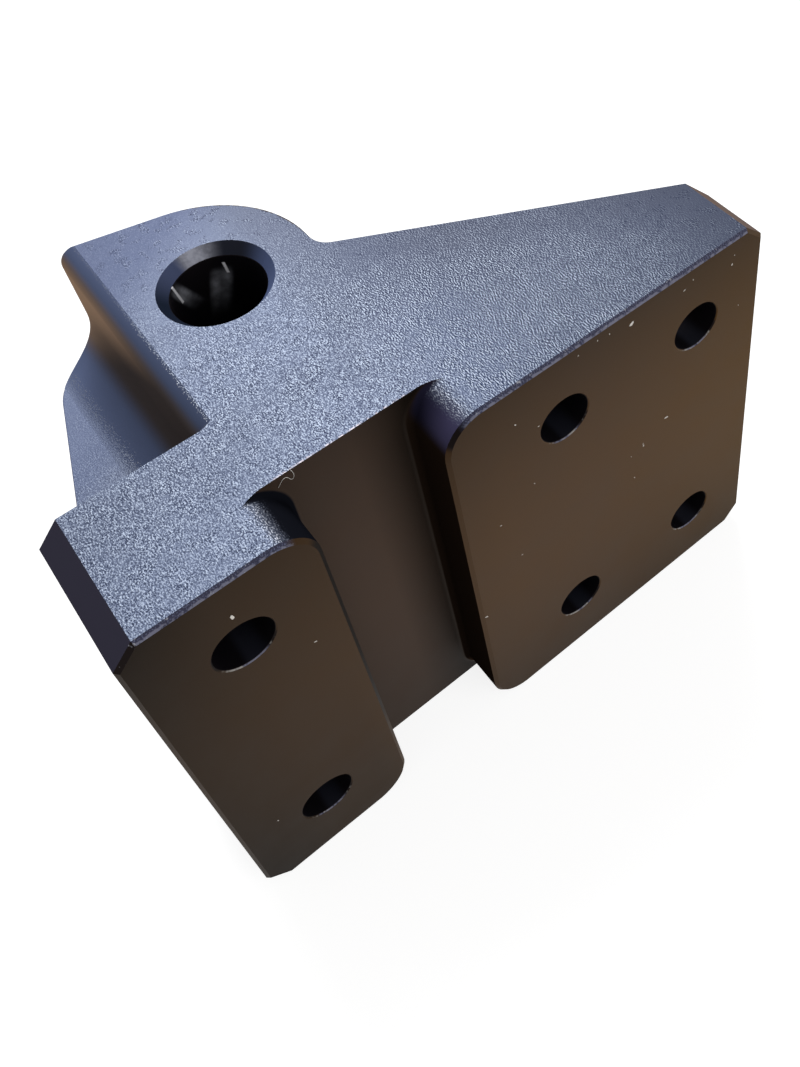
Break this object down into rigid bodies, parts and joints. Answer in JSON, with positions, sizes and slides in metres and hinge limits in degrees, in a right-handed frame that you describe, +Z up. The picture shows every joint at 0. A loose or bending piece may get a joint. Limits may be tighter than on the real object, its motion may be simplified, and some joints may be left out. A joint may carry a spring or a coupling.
{
  "type": "pedal bracket",
  "caption": "Black anodised block bracket with two bolt pads either side of a channel, and a rounded boss behind them bored for a pedal's pivot shaft.",
  "frame": {"origin": "middle of the pivot bore's axis, at the block's mid-height", "axes": "+Z up along the pivot bore, +X along the flange from the one-column pad to the two-column pad, -Y out of the pad faces"},
  "size_m": [0.1013, 0.0642, 0.0776],
  "materials": {
    "anodised_aluminium": "black anodised: fine blasted end faces and rear, satin milled pads and channel"
  },
  "bodies": {
    "root": {"bracket": "anodised_aluminium"}
  },
  "joints": []
}
